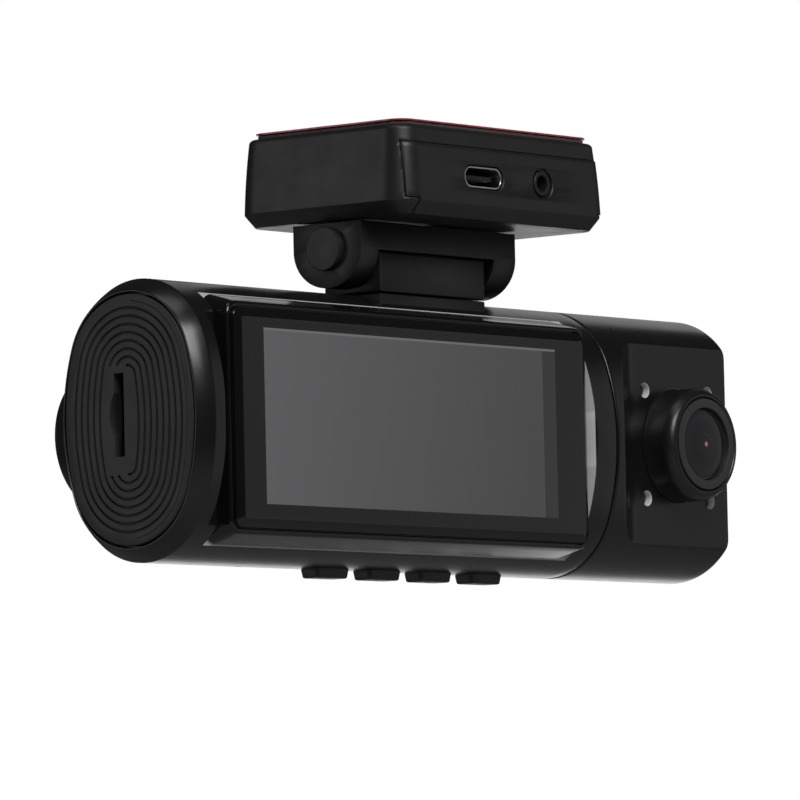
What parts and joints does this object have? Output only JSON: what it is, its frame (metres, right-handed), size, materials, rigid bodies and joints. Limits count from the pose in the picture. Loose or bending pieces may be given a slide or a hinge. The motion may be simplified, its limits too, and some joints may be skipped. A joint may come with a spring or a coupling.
{
  "type": "dash camera",
  "caption": "Windshield dash camera: oval tube body with a screen, road-facing and cabin-facing lenses, underside buttons and a tilting adhesive mount with power and video inlets.",
  "frame": {"origin": "centre of the windshield pad's outer face", "axes": "+X along the tube, to the right as the driver sees the screen; +Y towards the road; +Z out of the pad, up"},
  "size_m": [0.1301, 0.039, 0.068],
  "materials": {
    "gloss_black": "polished black",
    "satin_black": "fine satin black",
    "disc_grey": "fine matte dark grey",
    "inner_black": "matte black",
    "screen_glass": "polished, printed black at the edges",
    "lens_glass": "coated",
    "lcd": "dark display",
    "steel": "plated",
    "circuit_board": "solder mask",
    "capacitor_sleeve": "shrink sleeve",
    "foam": "closed-cell foam",
    "liner_red": "thin film",
    "led": "dark clear"
  },
  "bodies": {
    "mount": {"release_liner": "liner_red", "adhesive_pad": "foam", "base_shell": "satin_black", "base_lid": "satin_black", "lid_screw_1": "steel", "lid_screw_2": "steel", "port_panel": "satin_black", "usb_c_shell": "steel", "usb_c_tongue": "inner_black", "av_jack": "inner_black", "connector_board": "circuit_board", "hinge_yoke": "satin_black", "yoke_screw_1": "steel", "yoke_screw_2": "steel", "pin_cap_left": "satin_black", "pin_cap_right": "satin_black", "hinge_pin": "steel", "friction_washer_left": "steel", "friction_washer_right": "steel"},
    "camera": {"main_housing": "gloss_black", "neck_bracket": "satin_black", "end_disc": "disc_grey", "screen_frame": "gloss_black", "screen_glass": "screen_glass", "lcd_panel": "lcd", "lcd_tray": "steel", "tact_switch_1": "steel", "tact_switch_2": "steel", "tact_switch_3": "steel", "tact_switch_4": "steel", "button_board": "circuit_board", "main_board": "circuit_board", "card_socket": "steel", "supercapacitor_1": "capacitor_sleeve", "supercapacitor_2": "capacitor_sleeve", "speaker": "inner_black", "road_lens_housing": "satin_black", "road_lens_ring": "inner_black", "road_lens_glass": "lens_glass", "road_lens_barrel": "inner_black", "road_sensor_board": "circuit_board", "swivel_sleeve": "steel", "sleeve_clip": "steel"},
    "cabin_camera": {"cabin_housing": "gloss_black", "bearing_plate": "inner_black", "cabin_lens_housing": "satin_black", "cabin_lens_ring": "inner_black", "cabin_lens_glass": "lens_glass", "cabin_lens_barrel": "inner_black", "cabin_sensor_board": "circuit_board", "led_board": "circuit_board", "infrared_led_1": "led", "infrared_led_2": "led", "infrared_led_3": "led", "infrared_led_4": "led"},
    "key_1": {"button_1": "satin_black"},
    "key_2": {"button_2": "satin_black"},
    "key_3": {"button_3": "satin_black"},
    "key_4": {"button_4": "satin_black"}
  },
  "joints": [
    {"name": "camera_tilt", "type": "hinge", "parent": "mount", "child": "camera", "pos_m": [-0.0045, 0, -0.01855], "axis": [1, 0, 0], "range_deg": [0, 55]},
    {"name": "cabin_swivel", "type": "hinge", "parent": "camera", "child": "cabin_camera", "pos_m": [0.0287, 0, -0.04605], "axis": [1, 0, 0], "range_deg": [-20, 20]},
    {"name": "press_1", "type": "slide", "parent": "camera", "child": "key_1", "axis": [0, 0, 1], "range_m": [0, 0.0005], "stiffness_N_per_m": 600, "springref_m": -0.0004},
    {"name": "press_2", "type": "slide", "parent": "camera", "child": "key_2", "axis": [0, 0, 1], "range_m": [0, 0.0005], "stiffness_N_per_m": 600, "springref_m": -0.0004},
    {"name": "press_3", "type": "slide", "parent": "camera", "child": "key_3", "axis": [0, 0, 1], "range_m": [0, 0.0005], "stiffness_N_per_m": 600, "springref_m": -0.0004},
    {"name": "press_4", "type": "slide", "parent": "camera", "child": "key_4", "axis": [0, 0, 1], "range_m": [0, 0.0005], "stiffness_N_per_m": 600, "springref_m": -0.0004}
  ]
}
